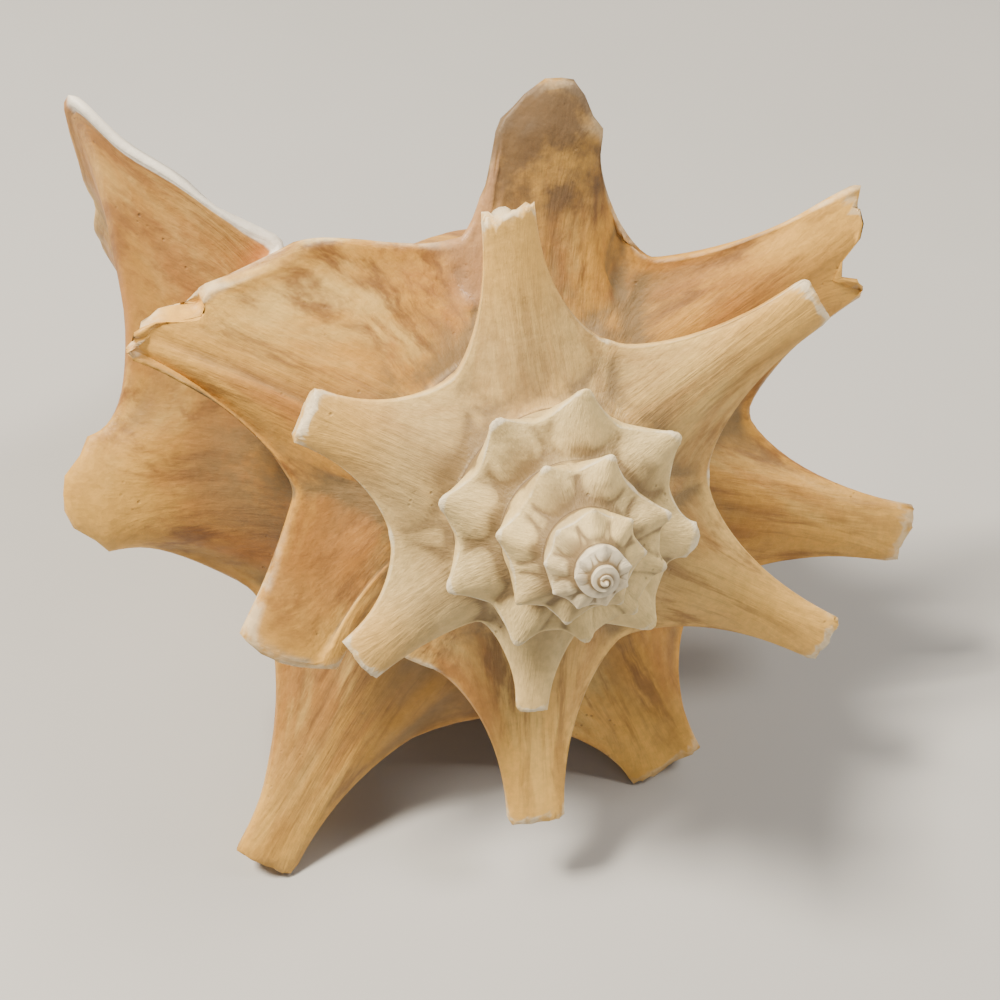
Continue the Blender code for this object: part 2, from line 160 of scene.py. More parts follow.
# turn; length, m; lift to the apex and swing along the growth, degrees; half widths of the root,
# as shares of the shoulder radius; half width, half depth, dome and slant of the tip, m
SPINES = (
    Spine(1.036, 0.0055, 5, 0, 0.42, 0.42, 0.0042, 0.0034, 0.0015),
    Spine(1.264, 0.014, 5, 0, 0.38, 0.34, 0.0036, 0.0030, 0.000),
    Spine(1.405, 0.018, 5, 0, 0.38, 0.48, 0.0055, 0.0040, 0.000),
    Spine(1.576, 0.022, 5, 0, 0.50, 0.50, 0.0058, 0.0042, 0.000),
    Spine(1.730, 0.028, 5, 0, 0.42, 0.50, 0.0056, 0.0045, -0.003),
    Spine(1.906, 0.035, 5, 0, 0.50, 0.50, 0.0060, 0.0048, 0.000),
    Spine(2.084, 0.041, 5, 0, 0.50, 0.50, 0.0060, 0.0050, 0.000),
    Spine(2.247, 0.037, 5, 0, 0.50, 0.50, 0.0068, 0.0050, 0.000),
    Spine(2.450, 0.020, 5, -45, 0.45, 0.36, 0.0130, 0.0070, 0.002),
    Spine(2.578, 0.026, 5, 0, 0.40, 0.39, 0.0075, 0.0060, -0.003),
    Spine(2.765, 0.023, 5, 0, 0.31, 0.48, 0.0115, 0.0070, 0.009),
    Spine(2.909, 0.038, 5, 5, 0.40, 0.42, 0.0125, 0.0070, -0.003, 0.004),
    Spine(3.040, 0.045, 5, 0, 0.37, 0.45, 0.0078, 0.0070, 0.000),
    Spine(3.176, 0.032, 5, 0, 0.45, 0.66, 0.0100, 0.0070, 0.000),
    Spine(3.337, 0.047, 5, 0, 0.44, 0.48, 0.0078, 0.0070, 0.000),
    Spine(3.488, 0.0165, 5, 0, 0.36, 0.38, 0.0095, 0.0095, 0.007),
)
KNOB_TURNS = (
    -2.483, -2.384, -2.227, -2.015, -1.918, -1.800, -1.690, -1.582, -1.473, -1.366, -1.239,
    -1.110, -1.000, -0.853, -0.720, -0.600, -0.454, -0.307, -0.186, -0.029, 0.060, 0.140, 0.220,
    0.320, 0.443, 0.556, 0.668, 0.777, 0.905, 1.138,
)
KNOBS_END = 1.28
KNOB_INSET = 0.06
KNOB_SIDE = 0.09
KNOB_LENGTH = 0.24
FIRST_KNOB_SHARE = 0.5
KNOBS_GROWN = (-1.8, 0.2)
KNOB_SPREAD = 0.38
KNOB_FLARE = 1.25
KNOB_TIP = (0.075, 0.075, 0.04)

# The camera of the photograph, and the studio
CAMERA_PLACE = (-0.0714, -0.2712, 0.3326)
CAMERA_AXES = ((0.95374, 0.22701, -0.19711), (-0.30061, 0.71069, -0.63605), (-0.00430, 0.66587, 0.74605))
CAMERA_LENS = 54.0
SENSOR = 36.0


def smooth_step(x):
    x = np.clip(x, 0, 1)
    return x * x * (3 - 2 * x)


def whorl_radius(turn):
    past = turn - SHOULDER_TURN
    early = np.minimum(past, 0)
    return SHOULDER_RADIUS * np.exp(GROWTH_PER_TURN * past - EARLY_GROWTH * early**2)


def knobbed(turn):
    return smooth_step((KNOBS_END - turn) / 0.25)


def shoulder_radius(turn):
    fills = sum(amount * np.exp(-(((turn - at) / width) ** 2)) for at, width, amount in WEB_FILLS)
    return whorl_radius(turn) * (1 + fills - KNOB_INSET * knobbed(turn))


def shoulder(turn):
    height = -CONE_STEEPNESS * np.hypot(whorl_radius(turn), APEX_BLUNTNESS)
    return shoulder_radius(turn), height + SPIRE_RISE * smooth_step((SPIRE_FOOT - turn) / SPIRE_SPAN)


def lower_suture(turn):
    """Where the next whorl meets this one: below the shoulder, and up on it beside the mouth."""
    radius, height = shoulder(turn)
    start, top, leave, end = SUTURE_CLIMB
    climb = smooth_step((turn - start) / (top - start)) * smooth_step((end - turn) / (end - leave))
    inset = SUTURE_INSET + (0.99 - SUTURE_INSET) * climb + KNOB_SIDE * knobbed(turn)
    drop = SUTURE_DROP * (1 - 0.8 * climb) + SPIRE_STEP * smooth_step(SPIRE_FOOT - turn)
    return inset * radius, height - drop * radius


def bezier(points, s):
    """The Bezier curve through a control polygon of (radius, height) pairs, at s from 0 to 1."""
    order = len(points) - 1
    weights = [math.comb(order, i) * s**i * (1 - s) ** (order - i) for i in range(order + 1)]
    return [sum(w * p[axis] for w, p in zip(weights, points)) for axis in (0, 1)]


def section(turn, girth):
    """Radius and height of the plain whorl, without its spines."""
    upper, keel, lower = lower_suture(turn - 1), shoulder(turn), lower_suture(turn)
    radius = keel[0]
    middle = (
        0.5 * (upper[0] + keel[0]) - 0.6 * RAMP_HOLLOW * radius,
        0.5 * (upper[1] + keel[1]) - 0.8 * RAMP_HOLLOW * radius,
    )
    ramp = bezier((upper, middle, keel), np.clip(girth, 0, 1))
    brow = (keel[0] + SHOULDER_ROUND * radius, keel[1] - 0.5 * SHOULDER_ROUND * radius)
    cheek = (lower[0] + 0.3 * SHOULDER_ROUND * radius, lower[1] + 1.2 * SHOULDER_ROUND * radius)
    side = bezier((keel, brow, cheek, lower), np.clip(girth - 1, 0, 1))
    end = -SHELL_LENGTH
    polygon = [lower]
    girth_radius = whorl_radius(turn)
    for share, down in BODY_GIRTHS:
        polygon.append((share * girth_radius, lower[1] + down * (end - lower[1])))
    polygon.append((0 * radius, end + 0 * radius))
    body = bezier(polygon, np.clip(girth - 2, 0, 1))
    pick = [girth <= 1, girth <= 2]
    return [np.select(pick, [ramp[axis], side[axis]], body[axis]) for axis in (0, 1)]


def around(radius, height, turn):
    """Points at a radius and height on the half-plane of a turn. Growth runs clockwise from above."""
    azimuth = -2 * math.pi * turn
    return np.stack(
        np.broadcast_arrays(radius * np.cos(azimuth), radius * np.sin(azimuth), height), axis=-1
    )


def plain_whorl(turn, girth):
    radius, height = section(turn, girth)
    return around(radius, height, turn)


def lip_margin(girth):
    """The edge of the mouth, from the suture round the wing to the canal's end."""
    sideways = np.array([math.cos(MOUTH_FACES + math.pi / 2), math.sin(MOUTH_FACES + math.pi / 2), 0])
    facing = np.array([math.cos(MOUTH_FACES), math.sin(MOUTH_FACES), 0])
    known = [plain_whorl(MOUTH_TURN, np.array(0.0))]
    known += [a * sideways + b * facing + np.array([0, 0, c]) for a, b, c in LIP_MARGIN]
    known += [plain_whorl(MOUTH_TURN, np.array(3.0))]
    return smooth_path(np.array((0.0, *LIP_GIRTHS, 3.0)), np.array(known), girth)


def smooth_path(places, points, at):
    """A Catmull-Rom curve through points that stand at the given places."""
    slopes = np.gradient(points, places, axis=0)
    index = np.clip(np.searchsorted(places, at, side="right") - 1, 0, len(places) - 2)
    step = places[index + 1] - places[index]
    s = ((at - places[index]) / step)[..., None]
    step = step[..., None]
    return (
        (2 * s**3 - 3 * s**2 + 1) * points[index]
        + (s**3 - 2 * s**2 + s) * step * slopes[index]
        + (3 * s**2 - 2 * s**3) * points[index + 1]
        + (s**3 - s**2) * step * slopes[index + 1]
    )


def whorl_with_lip(turn, girth):
    """The whorl's surface, whose last stretch opens out into the lip."""
    regular = plain_whorl(turn, girth)
    stretch = MOUTH_TURN - LIP_START_TURN
    s = np.clip((turn - LIP_START_TURN) / stretch, 0, 1)[..., None] + 0 * regular
    start_turn = LIP_START_TURN + 0 * turn
    start = plain_whorl(start_turn, girth)
    step = 1e-3
    leaving = (plain_whorl(start_turn + step, girth) - start) / step * stretch
    margin = lip_margin(girth + 0 * turn)
    fade = smooth_step((3 - girth) / 0.4)[..., None] * smooth_step(girth / 0.6)[..., None]
    arriving = 0.5 * leaving * fade
    opened = (
        (2 * s**3 - 3 * s**2 + 1) * start
        + (s**3 - 2 * s**2 + s) * leaving
        + (3 * s**2 - 2 * s**3) * margin
        + (s**3 - s**2) * arriving
    )
    share = smooth_step(girth / 0.5)[..., None] * (s > 0)
    return regular + share * (opened - regular)


def knobs():
    """The knobs of the whorls before the long spines."""
    first, last = KNOBS_GROWN
    for turn in KNOB_TURNS:
        size = float(shoulder_radius(turn))
        grown = float(smooth_step((turn - first) / (last - first)))
        tip = [share * size for share in KNOB_TIP]
        length = KNOB_LENGTH * size * (FIRST_KNOB_SHARE + (1 - FIRST_KNOB_SHARE) * grown)
        yield Spine(turn, length, 12, 0, KNOB_SPREAD, KNOB_SPREAD, *tip)


def lattice_noise(u, v, seed):
    """Smooth noise between -1 and 1 over a lattice with a step of one."""
    size = 256
    lattice = np.random.default_rng(seed).uniform(-1, 1, (size, size))
    left, low = np.floor(u).astype(int), np.floor(v).astype(int)
    across, up = smooth_step(u - left), smooth_step(v - low)
    rows, columns = left % size, low % size
    near = lattice[rows, columns] * (1 - up) + lattice[rows, (columns + 1) % size] * up
    rows = (rows + 1) % size
    far = lattice[rows, columns] * (1 - up) + lattice[rows, (columns + 1) % size] * up
    return near * (1 - across) + far * across


def grow_spine(points, surface, turn, arc, extents, spine, flare, share):
    """Draws the whorl out into one spine, ring by ring round the spine's root."""
    radius = float(shoulder_radius(spine.turn))
    root = whorl_with_lip(np.array(spine.turn), np.array(1.0))
    azimuth = -2 * math.pi * spine.turn
    radial = np.array([math.cos(azimuth), math.sin(azimuth), 0])
    growing = np.array([math.sin(azimuth), -math.cos(azimuth), 0])
    lift, swing = math.radians(spine.lift), math.radians(spine.swing)
    way = math.cos(lift) * (math.cos(swing) * radial + math.sin(swing) * growing)
    way += math.sin(lift) * np.array([0, 0, 1])
    across = growing - growing.dot(way) * way
    across /= np.linalg.norm(across)
    upward = np.cross(across, way)
    upward *= math.copysign(1, upward[2])

    width = np.where(turn < spine.turn, spine.before, spine.after) * radius
    along_turn = np.abs(turn - spine.turn) * 2 * math.pi * radius / width
    reach = (along_turn**ROOT_SQUARENESS + np.abs(arc) ** ROOT_SQUARENESS) ** (1 / ROOT_SQUARENESS)
    near = reach < 1
    side = np.where(turn < spine.turn, -along_turn, along_turn)[near]
    reach, width, extent, low = reach[near], width[near], extents[near], arc[near]
    ring = np.clip((reach - TIP_REACH) / (1 - TIP_REACH), 0, 1)
    within = np.maximum(reach, TIP_REACH)
    offset = surface[near] - root
    height = spine.length * (1 - ring) ** TAPER
    height += spine.dome * smooth_step(1.4 * (1 - np.minimum(reach / TIP_REACH, 1)))
    height -= spine.slant * (1 - ring) ** 4 * np.clip(side / TIP_REACH, -1, 1)
    bearing = np.arctan2(low, side)
    broken = (BROKEN_HOLLOW if spine.dome < 0 else BROKEN_TIP) * min(spine.length / 0.03, 1)
    around, own = (np.cos(bearing), np.sin(bearing)), 9 * spine.turn
    chips = lattice_noise(1.6 * around[0] + own + 40, 1.6 * around[1] + 40, 11)
    chips += 0.5 * lattice_noise(5 * around[0] + own + 90, 5 * around[1] + 90, 12)
    broken_off = np.clip(1 - 2.2 * ring, 0, 1) ** 1.5
    height += broken * chips * broken_off
    if spine.turn in NOTCHES:
        middle, half_width, depth = NOTCHES[spine.turn]
        across_tip = (side - 0.2 * low) / within
        height -= depth * broken_off * np.exp(-(((across_tip - middle) / half_width) ** 2))
    opened = ring**flare
    widths = (spine.tip_width + (width - spine.tip_width) * opened) / (width * within)
    depths = (spine.tip_depth + (extent - spine.tip_depth) * opened) / (extent * within)
    drawn = (
        root
        + (height + offset @ way * ring)[:, None] * way
        + (offset @ across * widths)[:, None] * across
        + (offset @ upward * depths)[:, None] * upward
    )
    points[near] += drawn - surface[near]
    worth = min(spine.length / 0.02, 1)
    share[near] = np.maximum(share[near], worth * (1 - ring) ** 1.2)


def grid_normals(points):
    """Outward unit normals of a grid of points whose rows follow the growth."""
    normal = np.cross(np.gradient(points, axis=0), np.gradient(points, axis=1))
    normal /= np.maximum(np.linalg.norm(normal, axis=-1, keepdims=True), TINY)
    keel = RAMP_COLUMNS
    level = np.array([1, 1, 0])
    outwards = np.sign(np.sum(normal[:, keel] * points[:, keel] * level, axis=-1))
    return normal * outwards[:, None, None]


def growth_relief(turn, girth, share):
    """How far growth folds, lumps and wear lift the surface, m."""
    size = whorl_radius(turn)
    wander = 0.6 * lattice_noise(turn * 7, girth * 3, 4)
    lumps = lattice_noise(turn * 11, girth * 3.5, 1)
    folds = lattice_noise(turn * 38 + wander, girth * 1.7, 2)
    lines = lattice_noise(turn * 105 + 2 * wander, girth * 3, 3)
    height = 0.008 * lumps + (0.004 + 0.006 * share) * folds + (0.0018 + 0.002 * share) * lines
    early = smooth_step((turn + 2.6) / 1.5)
    return size * height * early


def relief_fade(turn, girth):
    """Keeps the relief off the seams, where neighbouring patches share their points."""
    fade = smooth_step(girth / 0.18) * smooth_step(np.abs(girth - 2) / 0.25 + (turn - MOUTH_TURN + 1) / 0.04)
    start = smooth_step((turn - MOUTH_TURN + 1) / 0.03)
    below = np.where(girth > 2, start, 1.0)
    return fade * below * smooth_step((3 - girth) / 0.35) * smooth_step((turn - FIRST_TURN) / 0.3)


def groove_relief(turn, girth, share):
    """The few deep seams and the glaze that ends in a step beside the mouth."""
    cut = 0 * turn
    for at, width, depth, first, last in GROOVES:
        line = at + 0.006 * lattice_noise(girth * 6, 0 * girth + at, 7)
        span = smooth_step((girth - first) / 0.1) * smooth_step((last - girth) / 0.1)
        cut -= depth * span * np.exp(-(((turn - line) / width) ** 2))
    return cut + GLAZE_STEP * glaze_cover(turn, girth)


def glaze_cover(turn, girth):
    """Where the pale glaze from inside the mouth has spread out over the whorl before it."""
    edge = GLAZE_END + 0.016 * lattice_noise(girth * 9, 0 * girth, 8)
    edge = edge + 0.007 * lattice_noise(girth * 31, 0 * girth, 9)
    over = smooth_step((turn - GLAZE_START) / 0.02) * smooth_step((edge - turn) / 0.004)
    return over * smooth_step((girth - 0.42) / 0.08) * smooth_step((2.0 - girth) / 0.2)


def outer_grid(shape):
    """The outside as a grid of rows along the growth: turns, girths, plain and full surface, spines."""
    rows = round((MOUTH_TURN - FIRST_TURN) * shape.rows_per_turn)
    turns = MOUTH_TURN - np.arange(rows, -1, -1) / shape.rows_per_turn
    girths = np.concatenate(
        [
            1 - np.linspace(1, 0, RAMP_COLUMNS + 1)[:-1] ** 1.25,
            1 + np.linspace(0, 1, SIDE_COLUMNS + 1)[:-1] ** 1.1,
            2 + np.linspace(0, 1, BODY_COLUMNS + 1) ** 1.25,
        ]
    )
    turn, girth = np.meshgrid(turns, girths, indexing="ij")
    surface = whorl_with_lip(turn, girth)
    steps = np.linalg.norm(np.diff(surface, axis=1), axis=-1)
    along = np.concatenate([np.zeros((len(turns), 1)), np.cumsum(steps, axis=1)], axis=1)
    above = along[:, RAMP_COLUMNS : RAMP_COLUMNS + 1]
    arc = along - above
    held = ROOT_SPAN * arc[:, SEAM_COLUMN]
    bare = smooth_step((turns - (MOUTH_TURN - 1)) / BARE_WITHIN)
    below = held + (ROOT_BELOW * shoulder_radius(turns) - held) * bare
    extents = np.where(arc < 0, ROOT_SPAN * above, below[:, None])
    points, share = surface.copy(), np.zeros_like(turn)
    for spines, flare in ((knobs(), KNOB_FLARE), (SPINES, FLARE)):
        for spine in spines:
            grow_spine(points, surface, turn, arc / extents, extents, spine, flare, share)
    lift = growth_relief(turn, girth, share) + groove_relief(turn, girth, share)
    lift *= shape.relief * relief_fade(turn, girth)
    return turn, girth, surface, points + lift[..., None] * grid_normals(points), share


class Skin:
    """Points and faces of the shell, gathered patch by patch, with the facts that its finish reads.

    The facts of a corner are its turn, its girth, its share of a spine, how far inside it lies and its
    cover of glaze."""

    def __init__(self):
        self.points = []
        self.faces = []
        self.facts = []
        self.corner_facts = []

    def add(self, points, *facts):
        """Takes in an array of points with their facts, and gives back their numbers."""
        first = len(self.points)
        shape = points.shape[:-1]
        known = np.stack([np.broadcast_to(fact, shape) for fact in facts], axis=-1)
        self.points.extend(points.reshape(-1, 3).tolist())
        self.facts.extend(known.reshape(-1, len(facts)).tolist())
        return first + np.arange(math.prod(shape)).reshape(shape)

    def face(self, corners, facts_from=None):
        self.faces.append([int(corner) for corner in corners])
        self.corner_facts.extend(self.facts[int(corner)] for corner in facts_from or corners)

    def cover(self, index):
        """Quads between neighbouring rows and columns of an array of point numbers."""
        quads = np.stack([index[:-1, :-1], index[1:, :-1], index[1:, 1:], index[:-1, 1:]], axis=-1)
        quads = quads.reshape(-1, 4)
        self.faces.extend(quads.tolist())
        self.corner_facts.extend(self.facts[corner] for corner in quads.ravel().tolist())


def shell_skin(shape):
    """The whole shell: outside, lip and hollow. Patches meet in points that lie on each other."""
    skin = Skin()
    turn, girth, surface, points, share = outer_grid(shape)
    last = turn.shape[1] - 1
    per_turn = shape.rows_per_turn
    body_row = turn.shape[0] - 1 - per_turn
    outside = skin.add(points, turn, girth, share, 0, glaze_cover(turn, girth))
    skin.cover(outside[: body_row + 1, : SEAM_COLUMN + 1])
    skin.cover(outside[body_row:])
    close_apex(skin, [*outside[: per_turn + 1, 0], *outside[0, 1:SEAM_COLUMN][::-1]])

    rows = np.arange(turn.shape[0] - 1, turn.shape[0] - 2 - round(CAVITY_TURNS * per_turn), -1)
    core = surface[rows - per_turn]
    inner = inner_wall(surface[rows], core, wall_at(turn[rows, 0], shape.wall))
    inside = skin.add(inner, turn[rows], girth[rows], 0, 1, 1)
    skin.cover(inside)

    edge_points = lip_edge(points, surface, inner, girth[-1])
    edge = skin.add(edge_points, turn[-1], girth[-1], 0, 0.5, 0)
    skin.cover(np.stack([outside[-1], edge, inside[0]]))
    top, end = SEAM_COLUMN + 1, last - 1
    skin.face([outside[body_row, SEAM_COLUMN], outside[body_row, top], edge[0]])
    skin.face([outside[body_row, last], edge[-1], outside[body_row, end]])

    core[0] = points[body_row]
    back_turn, back_girth = turn[rows - per_turn], girth[rows - per_turn]
    body = slice(top, end + 1)
    back = skin.add(core[:, body], back_turn[:, body], back_girth[:, body], 0, 1, 1)
    skin.cover(back)
    skin.face([*inside[-1], *back[-1][::-1]])
    return skin


def close_apex(skin, rim):
    """A small dome over the first whorl."""
    base = np.array([skin.points[corner] for corner in [*rim, rim[0]]])
    tip = np.array([0, 0, APEX_RISE])
    up = np.linspace(0, 1, APEX_RINGS + 1)[:, None, None]
    dome = base + (tip - base) * up
    dome[..., 2] += 4 * APEX_BULGE * (up * (1 - up))[..., 0]
    skin.cover(skin.add(dome, FIRST_TURN, 0.5, 0, 0, 0))


def lip_edge(points, surface, inner, girths):
    """The rounded middle of the lip's margin, between the outer and the inner wall."""
    ahead = points[-1] - surface[-3]
    ahead /= np.maximum(np.linalg.norm(ahead, axis=-1, keepdims=True), TINY)
    fade = smooth_step(np.minimum(girths, 3 - girths) / EDGE_FADE)
    worn = 1 + 0.35 * lattice_noise(girths * 14, 0 * girths, 15)
    return 0.5 * (points[-1] + inner[0]) + (EDGE_ROUND * EDGE_WALL * fade * worn)[:, None] * ahead


def wall_at(turns, wall):
    """The thickness of the outer wall, which thins towards the margin of the lip."""
    return EDGE_WALL + (wall - EDGE_WALL) * smooth_step((MOUTH_TURN - turns) / THINNED_TURNS)


def inner_wall(outside, core, walls):
    """The inside of the outer wall, from the corner at the suture to the corner at the canal."""
    inside = outside - walls[:, None, None] * grid_normals(outside)
    share = np.linspace(0, 1, outside.shape[1])[None, :, None]
    to_top = (core[:, SEAM_COLUMN + 1] - inside[:, 0])[:, None]
    to_end = (core[:, -2] - inside[:, -1])[:, None]
    return inside + to_top * (1 - share) ** TOP_CORNER + to_end * share**END_CORNER


def lay_down(points):
    """Turns points from the coiling axis to the way that the shell lies on its feet."""
    upwards = np.array(RESTING_UP) / np.linalg.norm(RESTING_UP)
    across = np.cross(upwards, np.array([0, 0, 1]))
    across /= np.linalg.norm(across)
    return points @ np.stack([across, np.cross(upwards, across), upwards]).T


def select_none():
    bpy.ops.object.select_all(action="DESELECT")


def take_in_hand(piece):
    """Makes one piece the only one selected, and the active one."""
    select_none()
    piece.select_set(True)
    bpy.context.view_layer.objects.active = piece


def wear_feet(piece):
    """Cuts the points that the shell lies on flat at the floor."""
    take_in_hand(piece)
    bpy.ops.object.mode_set(mode="EDIT")
    bpy.ops.mesh.select_all(action="SELECT")
    bpy.ops.mesh.bisect(
        plane_co=(0, 0, 0), plane_no=(0, 0, 1), use_fill=True, clear_inner=True, threshold=WELD
    )
    bpy.ops.object.mode_set(mode="OBJECT")


def place_in_box(points):
    """Centres points over the middle of the solid's box, and keeps them inside it."""
    low, high = (np.array(corner) for corner in CAD_BOX)
    middle = 0.5 * (points.min(axis=0) + points.max(axis=0)) * [1, 1, 0]
    points = points - middle
    size = points.max(axis=0) - [1, 1, 0] * points.min(axis=0)
    room = high - low * [1, 1, 0]
    points *= min(1.0, float(np.min(room / size)))
    return points + 0.5 * (low + high) * [1, 1, 0]


def set_points(mesh, points):
    mesh.vertices.foreach_set("co", points.ravel())
    mesh.update()


def get_points(mesh):
    points = np.empty(3 * len(mesh.vertices))
    mesh.vertices.foreach_get("co", points)
    return points.reshape(-1, 3)


def corner_vertices(mesh):
    corners = np.empty(len(mesh.loops), dtype=int)
    mesh.loops.foreach_get("vertex_index", corners)
    return corners


def write_map(mesh, name, first, second):
    """A UV map whose two numbers are facts of each corner."""
    layer = mesh.uv_layers.new(name=name)
    layer.uv.foreach_set("vector", np.stack([first, second], axis=1).ravel())


def map_bulges_and_hollows(mesh):
    """Maps how far each place stands out of the shape around it, and how far it lies in a hollow."""
    points = get_points(mesh)
    edges = np.empty(2 * len(mesh.edges), dtype=int)
    mesh.edges.foreach_get("vertices", edges)
    ends = edges.reshape(-1, 2)
    count = np.bincount(edges, minlength=len(points))
    normals = np.empty(3 * len(points))
    mesh.vertex_normals.foreach_get("vector", normals)
    normals = normals.reshape(-1, 3)
    lengths = np.linalg.norm(points[ends[:, 0]] - points[ends[:, 1]], axis=1)
    spread = np.bincount(edges, weights=np.repeat(lengths, 2), minlength=len(points)) / np.maximum(count, 1)

    def smoothed(values, rounds):
        for _ in range(rounds):
            total = np.zeros_like(values)
            for axis in range(values.shape[1]):
                column = values[:, axis]
                total[:, axis] = np.bincount(ends[:, 0], weights=column[ends[:, 1]], minlength=len(points))
                total[:, axis] += np.bincount(ends[:, 1], weights=column[ends[:, 0]], minlength=len(points))
            values = 0.4 * values + 0.6 * total / np.maximum(count, 1)[:, None]
        return values

    near = np.sum((points - smoothed(points, 6)) * normals, axis=1) / np.maximum(spread, TINY)
    wide = np.sum((points - smoothed(points, 40)) * normals, axis=1) / np.maximum(spread, TINY)
    convex = np.clip(0.5 * near + 0.25 * wide, 0, 1)
    hollow = np.clip(-0.5 * near - 0.3 * wide, 0, 1)
    corners = corner_vertices(mesh)
    # The wear map holds bulges, for chalky wear and a painted highlight, and hollows, for stains and painted shade.
    write_map(mesh, "wear", convex[corners], hollow[corners])


class Wiring:
    """Adds shader nodes to one tree and links them up."""

    def __init__(self, tree):
        self.tree = tree

    def add(self, kind, inputs=None, **settings):
        """A node with its settings, and its inputs by name or number, each a value or an output."""
        node = self.tree.nodes.new(kind)
        for name, value in settings.items():
            setattr(node, name, value)
        for name, value in (inputs or {}).items():
            self.put(value, node.inputs[name])
        return node

    def put(self, value, socket):
        if isinstance(value, bpy.types.NodeSocket):
            self.tree.links.new(value, socket)
        else:
            socket.default_value = value

    def math(self, operation, first, second=0.0, clamp=False):
        inputs = {0: first, 1: second}
        return self.add("ShaderNodeMath", inputs, operation=operation, use_clamp=clamp).outputs[0]

    def times(self, first, second):
        return self.math("MULTIPLY", first, second)

    def vector(self, x, y, z=0.0):
        return self.add("ShaderNodeCombineXYZ", {0: x, 1: y, 2: z}).outputs[0]

    def mapped(self, value, low, high, to_low=0.0, to_high=1.0):
        inputs = {"Value": value, "From Min": low, "From Max": high, "To Min": to_low, "To Max": to_high}
        return self.add("ShaderNodeMapRange", inputs, interpolation_type="SMOOTHSTEP").outputs[0]

    def noise(self, place, scale=1.0, detail=3.0, roughness=0.55, distortion=0.0):
        inputs = {"Vector": place, "Scale": scale, "Detail": detail, "Roughness": roughness}
        inputs["Distortion"] = distortion
        return self.add("ShaderNodeTexNoise", inputs).outputs[0]

    def mix(self, factor, first, second, blend="MIX"):
        node = self.add("ShaderNodeMix", {0: factor, 6: first, 7: second}, data_type="RGBA", blend_type=blend)
        return node.outputs[2]

    def ramp(self, value, stops):
        """Colours along a value: stops are pairs of a place and a colour."""
        node = self.add("ShaderNodeValToRGB", {0: value})
        elements = node.color_ramp.elements
        while len(elements) < len(stops):
            elements.new(0.5)
        for element, (place, colour) in zip(elements, stops):
            element.position = place
            element.color = (*colour[:3], 1)
        return node.outputs[0]

    def uv(self, name):
        """The two numbers of a UV map."""
        place = self.add("ShaderNodeUVMap", uv_map=name).outputs[0]
        parts = self.add("ShaderNodeSeparateXYZ", {0: place})
        return parts.outputs[0], parts.outputs[1]


def new_group(name, inputs, outputs):
    """An empty node group with named sockets; gives its wiring, its inputs and its output node."""
    tree = bpy.data.node_groups.new(name, "ShaderNodeTree")
    for socket_name, kind, default in inputs:
        socket = tree.interface.new_socket(socket_name, in_out="INPUT", socket_type=f"NodeSocket{kind}")
        if default is not None:
            socket.default_value = default
    for socket_name, kind in outputs:
        tree.interface.new_socket(socket_name, in_out="OUTPUT", socket_type=f"NodeSocket{kind}")
    wiring = Wiring(tree)
    given = wiring.add("NodeGroupInput").outputs
    return wiring, given, wiring.add("NodeGroupOutput").inputs


def growth_streaks_group():
    """Streaks along the lines of growth, wavy like the grain of wood: fine across a turn, long down the girth."""
    wiring, given, out = new_group(
        "growth_streaks",
        [
            ("Turn", "Float", 0.0), ("Girth", "Float", 0.0), ("Fineness", "Float", 30.0),
            ("Length", "Float", 1.5), ("Seed", "Float", 0.0), ("Low", "Float", 0.4), ("High", "Float", 0.65),
        ],
        [("Streaks", "Float")],
    )
    times = wiring.times
    bends = wiring.noise(wiring.vector(times(given["Turn"], 11.0), times(given["Girth"], 2.4), given["Seed"]), 1.0, 3.0)
    turn = wiring.math("ADD", given["Turn"], times(wiring.math("SUBTRACT", bends, 0.5), 0.022))
    place = wiring.vector(times(turn, given["Fineness"]), times(given["Girth"], given["Length"]), given["Seed"])
    streaks = wiring.noise(place, 1.0, 5.0, 0.62)
    wiring.put(wiring.mapped(streaks, given["Low"], given["High"]), out["Streaks"])
    return wiring.tree


def shell_relief_group():
    """Low relief that is too fine for the mesh: growth lines, fibres, grain and pits."""
    wiring, given, out = new_group(
        "shell_relief",
        [("Turn", "Float", 0.0), ("Girth", "Float", 0.0)],
        [("Height", "Float"), ("Pits", "Float"), ("Grain", "Float")],
    )
    times = wiring.times
    place = wiring.add("ShaderNodeTexCoord").outputs["Object"]
    lines = wiring.noise(wiring.vector(times(given["Turn"], 150.0), times(given["Girth"], 5.0)), 1.0, 3.0, 0.6)
    fibres = wiring.noise(wiring.vector(times(given["Turn"], 620.0), times(given["Girth"], 9.0)), 1.0, 2.0, 0.6)
    grain = wiring.noise(place, 520.0, 5.0, 0.65)
    lumps = wiring.noise(place, 75.0, 4.0, 0.6)
    pits = wiring.add("ShaderNodeTexVoronoi", {"Vector": place, "Scale": 480.0, "Randomness": 1.0}).outputs[0]
    pitted = times(wiring.mapped(pits, 0.24, 0.06), wiring.mapped(wiring.noise(place, 45.0, 3.0), 0.58, 0.70))
    height = times(lines, 0.5)
    for part, share in ((fibres, 0.11), (grain, 0.24), (lumps, 0.45)):
        height = wiring.math("ADD", height, times(part, share))
    wiring.put(wiring.math("SUBTRACT", height, times(pitted, 0.35)), out["Height"])
    wiring.put(pitted, out["Pits"])
    wiring.put(grain, out["Grain"])
    return wiring.tree


def place_group(wiring, tree, inputs):
    node = wiring.add("ShaderNodeGroup", inputs=None)
    node.node_tree = tree
    for name, value in inputs.items():
        wiring.put(value, node.inputs[name])
    return node.outputs


def new_material(name):
    material = bpy.data.materials.new(name)
    material.use_nodes = True
    return material, Wiring(material.node_tree), material.node_tree.nodes["Principled BSDF"].inputs


